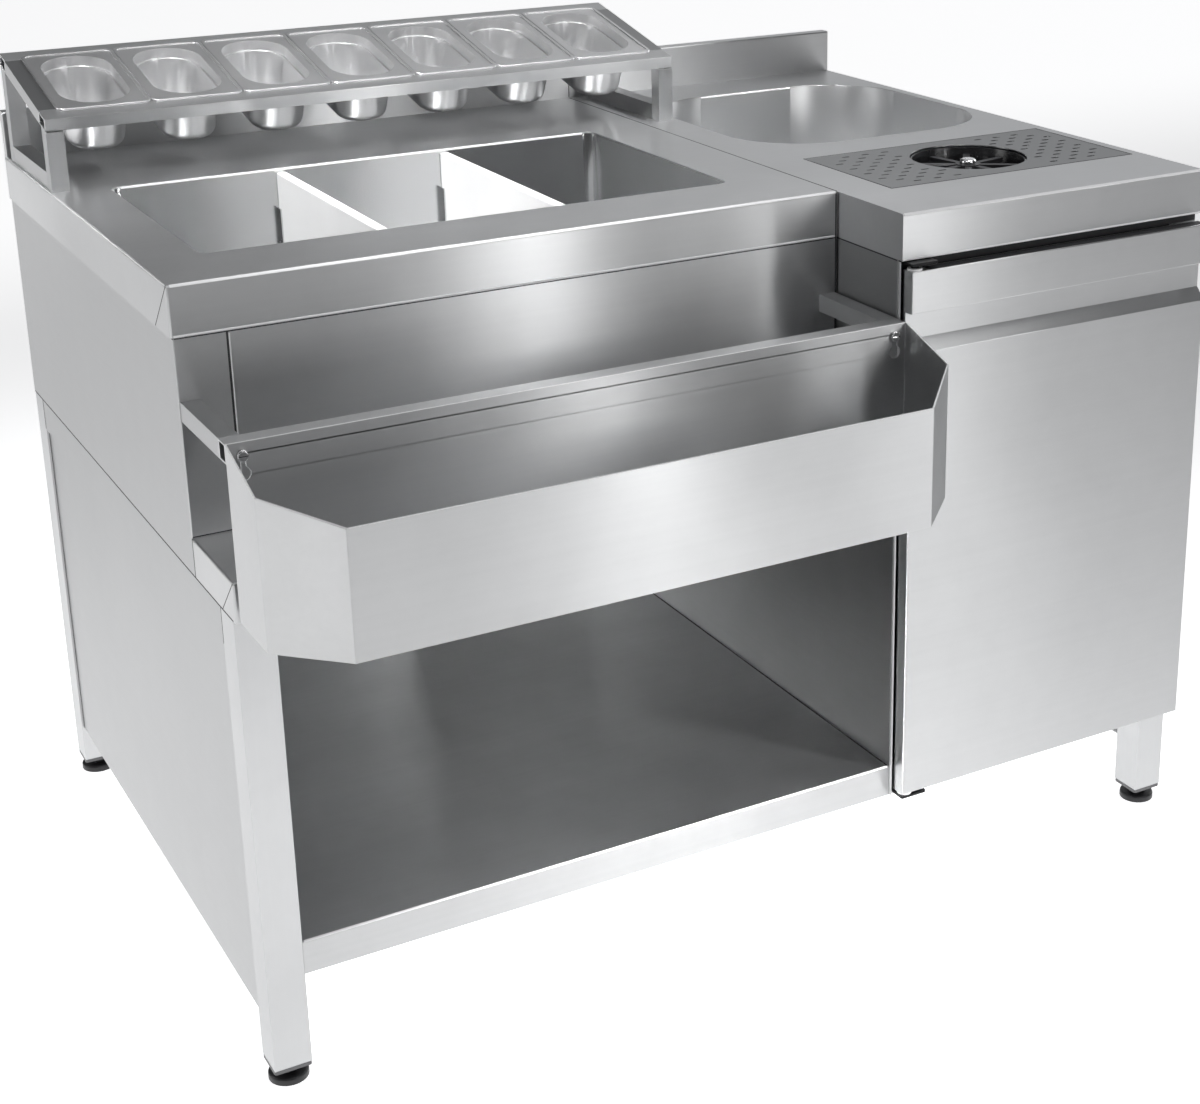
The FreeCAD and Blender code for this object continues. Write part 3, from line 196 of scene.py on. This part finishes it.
# Brushed sheet: layers of noise as scale, detail, roughness and whether the brushing draws them out,
# scale of the drawn ones along the brushing and what is added to it across, shares of clouds and
# streaks in the tone, change of roughness with each, and height of waves and lines
BRUSH_LAYERS = {
    "Lines": (1.0, 2.0, 0.5, True),
    "Streaks": (0.18, 2.0, 0.5, True),
    "Clouds": (5.0, 5.0, 0.58, False),
    "Waves": (3.2, 1.0, 0.4, False),
}
SCALE_ALONG = 5.0
SCALE_ACROSS = 1000.0
CLOUD_SHARE = 0.86
STREAK_SHARE = 0.14
CLOUD_HAZE = (-0.005, 0.03)
STREAK_HAZE = 0.005
WAVE_STRENGTH = 0.25
WAVE_HEIGHT = 4.0 * MM
LINE_STRENGTH = 0.015
LINE_HEIGHT = 0.2 * MM
QUARTER_TURN = 0.25

# Satin metal: detail of its grain, shares of the tone from dark to light, and height of the grain
SATIN_DETAIL = 4.0
SATIN_SHADES = (0.96, 1.03)
SATIN_HEIGHT = 0.5 * MM

# Plastic: scale of its clouds, shares of the tone from dark to light, change of roughness with the
# grain, and height of the grain
PLASTIC_CLOUDS = 9.0
PLASTIC_SHADES = (0.93, 1.05)
PLASTIC_HAZE = 0.06
PLASTIC_HEIGHT = 0.3 * MM

# Ways of brushing, each turned a little so that the faces it stands square on are brushed level
ALONG_X = (1.0, 0.03, 0.0)
ALONG_Y = (0.03, 1.0, 0.0)
ALONG_Z = (0.03, 0.0, 1.0)

STEEL = (0.66, 0.665, 0.67)
CORNERS = ("front_left", "front_right", "back_left", "back_right")
PAN_COUNT = 7


def noise(tree, place, scale, detail=NOISE_DETAIL, rough=NOISE_ROUGH):
    """Noise over a place."""
    texture = tree.nodes.new("ShaderNodeTexNoise")
    texture.inputs["Scale"].default_value = scale
    texture.inputs["Detail"].default_value = detail
    texture.inputs["Roughness"].default_value = rough
    tree.links.new(place, texture.inputs["Vector"])
    return texture.outputs["Fac"]


def remapped(tree, source, low, high, start=NOISE_LOW, end=NOISE_HIGH, curve="LINEAR"):
    """Value that goes from low to high as the source goes from start to end."""
    level = tree.nodes.new("ShaderNodeMapRange")
    level.interpolation_type = curve
    level.inputs["From Min"].default_value = start
    level.inputs["From Max"].default_value = end
    level.inputs["To Min"].default_value = low
    level.inputs["To Max"].default_value = high
    tree.links.new(source, level.inputs["Value"])
    return level.outputs["Result"]


def added(tree, first, second):
    """Sum of two values."""
    total = tree.nodes.new("ShaderNodeMath")
    total.operation = "ADD"
    tree.links.new(first, total.inputs[0])
    tree.links.new(second, total.inputs[1])
    return total.outputs[0]


def vector_math(tree, operation, source):
    """Vector node with its first input linked; the second is left to the caller."""
    worked = tree.nodes.new("ShaderNodeVectorMath")
    worked.operation = operation
    tree.links.new(source, worked.inputs[0])
    return worked


def shaded(tree, factor, tone, dark, light):
    """Tone that goes from a dark to a light share of itself with the factor."""
    shade = tree.nodes.new("ShaderNodeMix")
    shade.data_type = "RGBA"
    shade.inputs["A"].default_value = (*[channel * dark for channel in tone], 1.0)
    shade.inputs["B"].default_value = (*[channel * light for channel in tone], 1.0)
    tree.links.new(factor, shade.inputs["Factor"])
    return shade.outputs["Result"]


def bumped(tree, relief, strength, height):
    """Bump node that follows a relief."""
    bump = tree.nodes.new("ShaderNodeBump")
    bump.inputs["Strength"].default_value = strength
    bump.inputs["Distance"].default_value = height
    tree.links.new(relief, bump.inputs["Height"])
    return bump


def object_place(tree):
    """Coordinates that move with the piece."""
    return tree.nodes.new("ShaderNodeTexCoord").outputs["Object"]


def new_material(name):
    """Node material, as (material, tree, shader)."""
    material = bpy.data.materials.new(name)
    material.use_nodes = True
    tree = material.node_tree
    return material, tree, tree.nodes["Principled BSDF"]


def brushing_group():
    """Noise of brushed sheet: fine lines and wider streaks along the brushing, clouds, slow waves."""
    tree = bpy.data.node_groups.new("brushed sheet", "ShaderNodeTree")
    for label in ("Coordinates", "Stretch"):
        tree.interface.new_socket(label, in_out="INPUT", socket_type="NodeSocketVector")
    for label in BRUSH_LAYERS:
        tree.interface.new_socket(label, in_out="OUTPUT", socket_type="NodeSocketFloat")
    entry = tree.nodes.new("NodeGroupInput")
    leave = tree.nodes.new("NodeGroupOutput")
    plain = entry.outputs["Coordinates"]
    drawn = vector_math(tree, "MULTIPLY", plain)
    tree.links.new(entry.outputs["Stretch"], drawn.inputs[1])
    for label, (scale, detail, rough, drawn_out) in BRUSH_LAYERS.items():
        place = drawn.outputs[0] if drawn_out else plain
        tree.links.new(noise(tree, place, scale, detail, rough), leave.inputs[label])
    return tree


BRUSHING = brushing_group()


def brushed_steel(name, way, tone, rough, clouding=0.07, pull=1.0):
    """Stainless sheet brushed along one way, so that its lights are drawn out across the lines."""
    material, tree, shader = new_material(name)
    brush = tree.nodes.new("ShaderNodeGroup")
    brush.node_tree = BRUSHING
    stretch = [SCALE_ALONG + SCALE_ACROSS * (1.0 - along) for along in way]
    brush.inputs["Stretch"].default_value = stretch
    tree.links.new(object_place(tree), brush.inputs["Coordinates"])
    clouds = brush.outputs["Clouds"]
    streaks = brush.outputs["Streaks"]

    cloud_part = remapped(tree, clouds, 0.0, CLOUD_SHARE)
    streak_part = remapped(tree, streaks, 0.0, STREAK_SHARE)
    mottling = added(tree, cloud_part, streak_part)
    colour = shaded(tree, mottling, tone, 1.0 - clouding, 1.0 + clouding)
    tree.links.new(colour, shader.inputs["Base Color"])

    gloss = remapped(tree, streaks, rough - STREAK_HAZE, rough + STREAK_HAZE)
    haze = remapped(tree, clouds, *CLOUD_HAZE)
    tree.links.new(added(tree, gloss, haze), shader.inputs["Roughness"])

    waves = bumped(tree, brush.outputs["Waves"], WAVE_STRENGTH, WAVE_HEIGHT)
    lines = bumped(tree, brush.outputs["Lines"], LINE_STRENGTH, LINE_HEIGHT)
    tree.links.new(waves.outputs["Normal"], lines.inputs["Normal"])
    tree.links.new(lines.outputs["Normal"], shader.inputs["Normal"])

    turned = tree.nodes.new("ShaderNodeVectorTransform")
    turned.vector_type = "VECTOR"
    turned.convert_from = "OBJECT"
    turned.convert_to = "WORLD"
    turned.inputs[0].default_value = way
    tree.links.new(turned.outputs[0], shader.inputs["Tangent"])
    shader.inputs["Metallic"].default_value = 1.0
    shader.inputs["Anisotropic"].default_value = pull
    shader.inputs["Anisotropic Rotation"].default_value = QUARTER_TURN
    return material


def satin_metal(name, tone, rough, grain=60.0, depth=0.1, variation=0.04, metal=1.0):
    """Pressed or polished metal with a faint uneven surface."""
    material, tree, shader = new_material(name)
    uneven = noise(tree, object_place(tree), grain, SATIN_DETAIL)
    colour = shaded(tree, uneven, tone, *SATIN_SHADES)
    tree.links.new(colour, shader.inputs["Base Color"])
    gloss = remapped(tree, uneven, rough - variation, rough + variation)
    tree.links.new(gloss, shader.inputs["Roughness"])
    bump = bumped(tree, uneven, depth, SATIN_HEIGHT)
    tree.links.new(bump.outputs["Normal"], shader.inputs["Normal"])
    shader.inputs["Metallic"].default_value = metal
    return material


def moulded_plastic(name, tone, rough, grain=900.0, depth=0.08):
    """Plastic with a fine moulded grain and slightly uneven tone."""
    material, tree, shader = new_material(name)
    place = object_place(tree)
    fine = noise(tree, place, grain)
    clouds = noise(tree, place, PLASTIC_CLOUDS)
    colour = shaded(tree, clouds, tone, *PLASTIC_SHADES)
    tree.links.new(colour, shader.inputs["Base Color"])
    gloss = remapped(tree, fine, rough - PLASTIC_HAZE, rough + PLASTIC_HAZE)
    tree.links.new(gloss, shader.inputs["Roughness"])
    bump = bumped(tree, fine, depth, PLASTIC_HEIGHT)
    tree.links.new(bump.outputs["Normal"], shader.inputs["Normal"])
    return material


steel_across = brushed_steel("sheet brushed across", ALONG_X, STEEL, 0.29)
steel_deep = brushed_steel("sheet brushed front to back", ALONG_Y, STEEL, 0.34)
steel_upright = brushed_steel("tube brushed upright", ALONG_Z, (0.60, 0.605, 0.61), 0.33)
well_steel = brushed_steel("well lining", ALONG_Z, STEEL, 0.20, pull=0.5)
bowl_steel = satin_metal(
    "sink bowl", (0.68, 0.685, 0.69), 0.38, grain=9.0, depth=0.04, variation=0.05)
cover_steel = brushed_steel("drip cover", ALONG_X, (0.36, 0.365, 0.37), 0.33)
# Painted shade: the partition is the same steel made darker because it stands in shade inside the
# cupboard
partition_in_painted_shade = brushed_steel(
    "partition", ALONG_Y, (0.40, 0.403, 0.406), 0.31, clouding=0.10)
shelf_steel = brushed_steel("shelf lining", ALONG_X, STEEL, 0.29, clouding=0.10)
pan_steel = satin_metal(
    "pressed pan", (0.84, 0.84, 0.845), 0.33, grain=14.0, depth=0.03, variation=0.03)
bright_metal = satin_metal("polished fittings", (0.80, 0.80, 0.805), 0.10)
# Painted shade: the hinge plates sit in the shadowed gap over the door and are made near black for it
hinge_plate_shade = satin_metal("hinge plate in painted shade", (0.03, 0.03, 0.031), 0.40)
white_plate = moulded_plastic("white divider", (0.86, 0.86, 0.86), 0.38, grain=500.0, depth=0.04)
# Black plastic of feet, catch and spider; on the top bar over the door it is painted shade
black_plastic_and_shade = moulded_plastic("black plastic and painted shade", (0.018, 0.018, 0.02), 0.42)
cup_plastic = moulded_plastic("wet black cup", (0.012, 0.012, 0.013), 0.22, grain=140.0, depth=0.5)
grey_plastic = moulded_plastic("grey end cap", (0.16, 0.16, 0.165), 0.45)
# Dark joints, also used as painted shade in recesses, under the apron and over the door
dark_joint_and_shade = moulded_plastic("dark joint and painted shade", (0.03, 0.03, 0.032), 0.6)
foam = moulded_plastic("insulation foam", (0.78, 0.70, 0.46), 0.8, grain=260.0, depth=0.3)

# Painted highlights: the pale lines are matt and not metal, so that they show bright from every side
painted_highlight = satin_metal("painted fold highlight", (0.95, 0.95, 0.955), 0.45, metal=0.0)

FINISHES = {
    steel_deep: [
        "side_panel_lower", "side_panel_right", "side_panel_upper", "side_rail",
        "arms", "rail_side_bars", "rail_sills",
    ],
    steel_upright: ["rail_posts"] + ["leg_" + corner for corner in CORNERS],
    # Partition in darker steel as painted shade
    partition_in_painted_shade: ["partition"],
    shelf_steel: ["shelf", "back_panel_lower", "cross_rails"],
    well_steel: ["well_tub", "divider_clips"],
    bowl_steel: ["sink_bowl", "rinser_basin"],
    cover_steel: ["drip_cover"],
    pan_steel: ["pan_%d" % number for number in range(1, PAN_COUNT + 1)],
    bright_metal: ["well_waste", "sink_waste", "hang_screws", "rinser_nozzle", "rinser_base"],
    # Hinge plates darkened as painted shade
    hinge_plate_shade: ["hinge_plates"],
    white_plate: ["divider_1", "divider_2", "hinge_bushes"],
    # The top bar takes the black as painted shade of the gap over the door
    black_plastic_and_shade: ["door_catch", "cupboard_top_bar", "rinser_spider"]
                   + ["foot_" + corner for corner in CORNERS],
    cup_plastic: ["rinser_cup"],
    grey_plastic: ["foot_caps"],
    foam: ["well_foam"],
}


def round_edges(node):
    """Sheet and tube edges get a small rounding that catches the light."""
    weld = node.modifiers.new("joined corners", "WELD")
    weld.merge_threshold = WELD_DISTANCE
    bevel = node.modifiers.new("edge rounding", "BEVEL")
    bevel.width = EDGE_ROUND
    bevel.segments = EDGE_SEGMENTS
    bevel.limit_method = "ANGLE"
    bevel.angle_limit = math.radians(EDGE_ANGLE)


def finish_nodes():
    """Every node gets its finish, sheet brushed across being the rule, and most are rounded."""
    chosen = {name: material for material, names in FINISHES.items() for name in names}
    for name, node in nodes.items():
        node.data.materials.clear()
        node.data.materials.append(chosen.get(name, steel_across))
        if name not in SHARP_EDGED:
            round_edges(node)


def new_piece(name, points, faces, material):
    """Mesh of one material, put in the scene."""
    mesh = bpy.data.meshes.new(name)
    mesh.from_pydata(points, [], faces)
    mesh.materials.append(material)
    piece = bpy.data.objects.new(name, mesh)
    bpy.context.collection.objects.link(piece)
    return piece


def line_surface(lines, proud):
    """Points and faces of lines: a low dome of each line's width carried from its start to its end.

    Across a line, at angle t from 0 to half a turn, a point lies at half the width times cos t
    sideways and proud times sin t outwards; two points just under the surface close the section.
    """
    start, end, side = (np.array([line[part] for line in lines], float) for part in range(3))
    half = np.array([line[3] for line in lines]) / 2
    along = (end - start) / np.linalg.norm(end - start, axis=1, keepdims=True)
    across = np.cross(side, along)
    turn = np.linspace(0.0, math.pi, DOME_POINTS)
    sideways = np.concatenate([np.cos(turn), [-1.0, 1.0]])
    outwards = np.concatenate([np.sin(turn) * proud, [-LINE_SUNK, -LINE_SUNK]])
    section = (across[:, None] * half[:, None, None] * sideways[None, :, None]
               + side[:, None] * outwards[None, :, None])
    rings = np.stack([start[:, None] + section, end[:, None] + section], axis=1)
    points = ((rings - np.array(FRAME_ORIGIN)) * MM).reshape(-1, 3)

    count = len(sideways)
    step = np.arange(count)
    following = (step + 1) % count
    near = np.arange(len(lines))[:, None] * 2 * count
    far = near + count
    walls = np.stack([near + step, near + following, far + following, far + step], axis=2)
    near_caps = near + step[::-1]
    far_caps = far + step
    faces = walls.reshape(-1, 4).tolist() + near_caps.tolist() + far_caps.tolist()
    return points.tolist(), faces


def surface_lines(name, lines, proud, finish, body):
    """Piece made of lines on the sheets of one body."""
    points, faces = line_surface(lines, proud)
    piece = new_piece(name, points, faces, finish)
    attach(piece, body)


def pale_floor():
    """Plain floor with a glow of its own, strongest round the station and raised again behind it."""
    material, tree, shader = new_material("pale floor")
    shader.inputs["Base Color"].default_value = FLOOR_TONE
    shader.inputs["Roughness"].default_value = FLOOR_ROUGH
    shader.inputs["Emission Color"].default_value = GLOW_TONE
    place = object_place(tree)
    away = vector_math(tree, "DISTANCE", place)
    away.inputs[1].default_value = GLOW_CENTRE
    apart = tree.nodes.new("ShaderNodeSeparateXYZ")
    tree.links.new(place, apart.inputs[0])
    near = remapped(tree, away.outputs["Value"], GLOW_NEAR, GLOW_FAR, *GLOW_FALL, "SMOOTHSTEP")
    behind = remapped(tree, apart.outputs["Y"], 0.0, GLOW_BEHIND, *GLOW_RISE, "SMOOTHSTEP")
    tree.links.new(added(tree, near, behind), shader.inputs["Emission Strength"])
    half = FLOOR_HALF
    corners = [(-half, -half, 0.0), (half, -half, 0.0), (half, half, 0.0), (-half, half, 0.0)]
    floor = new_piece("floor", corners, [(0, 1, 2, 3)], material)


def surround():
    """Dim surround with two brighter sides."""
    world = bpy.data.worlds.new("surround")
    bpy.context.scene.world = world
    world.use_nodes = True
    tree = world.node_tree
    outlook = tree.nodes.new("ShaderNodeTexCoord").outputs["Generated"]
    sides = []
    for direction, start, end, low, high in SURROUND_SIDES:
        towards = vector_math(tree, "DOT_PRODUCT", outlook)
        towards.inputs[1].default_value = direction
        side = remapped(tree, towards.outputs["Value"], low, high, start, end, "SMOOTHSTEP")
        sides.append(side)
    background = tree.nodes["Background"]
    background.inputs["Color"].default_value = SURROUND_TONE
    tree.links.new(added(tree, *sides), background.inputs["Strength"])


def soft_light(name, place, target, size, power, spread):
    """Rectangular soft box aimed at a point."""
    light = bpy.data.lights.new(name, "AREA")
    light.shape = "RECTANGLE"
    light.size, light.size_y = size
    light.energy = power
    light.spread = math.radians(spread)
    lamp = bpy.data.objects.new(name, light)
    aim = np.array(target) - np.array(place)
    flat = math.hypot(aim[0], aim[1])
    lamp.location = place
    lamp.rotation_euler = (math.atan2(flat, -aim[2]), 0.0, math.atan2(-aim[0], aim[1]))
    bpy.context.collection.objects.link(lamp)


def photo_camera():
    """Camera at the photograph's place, with the shift of its crop."""
    data = bpy.data.cameras.new("photo camera")
    data.sensor_fit = "HORIZONTAL"
    data.sensor_width = SENSOR_WIDTH
    data.lens = FOCAL_PIXELS / IMAGE_WIDTH * SENSOR_WIDTH
    data.shift_x = (IMAGE_WIDTH / 2 - AXIS_PIXEL[0]) / IMAGE_WIDTH
    data.shift_y = (AXIS_PIXEL[1] - IMAGE_HEIGHT / 2) / IMAGE_WIDTH
    data.clip_end = VIEW_END
    camera = bpy.data.objects.new("photo camera", data)
    camera.location = EYE
    camera.rotation_euler = [math.radians(turn) for turn in EYE_TURN]
    bpy.context.collection.objects.link(camera)
    bpy.context.scene.camera = camera


finish_nodes()
# Dark lines of joints and of painted shade
surface_lines("joint_and_shade_lines", JOINTS_AND_SHADES, JOINT_PROUD, dark_joint_and_shade, "base")
# Pale lines of painted highlight along the folds and rims
surface_lines("fold_highlights", FOLD_HIGHLIGHTS, FOLD_PROUD, painted_highlight, "base")
surface_lines("partition_hem", PARTITION_HEM, HEM_PROUD, steel_upright, "base")
surface_lines("rail_edge_highlights", RAIL_EDGE_HIGHLIGHTS, FOLD_PROUD, painted_highlight, "speed_rail")
# Dark band of painted shade on the top of the door
# Pale lines of painted highlight on the speed rail's top edges
surface_lines("door_top_shade", DOOR_TOP_SHADE, JOINT_PROUD, dark_joint_and_shade, "door")
pale_floor()
surround()
for lamp in LIGHTS:
    soft_light(*lamp)
photo_camera()
bpy.context.scene.view_settings.view_transform = "Standard"
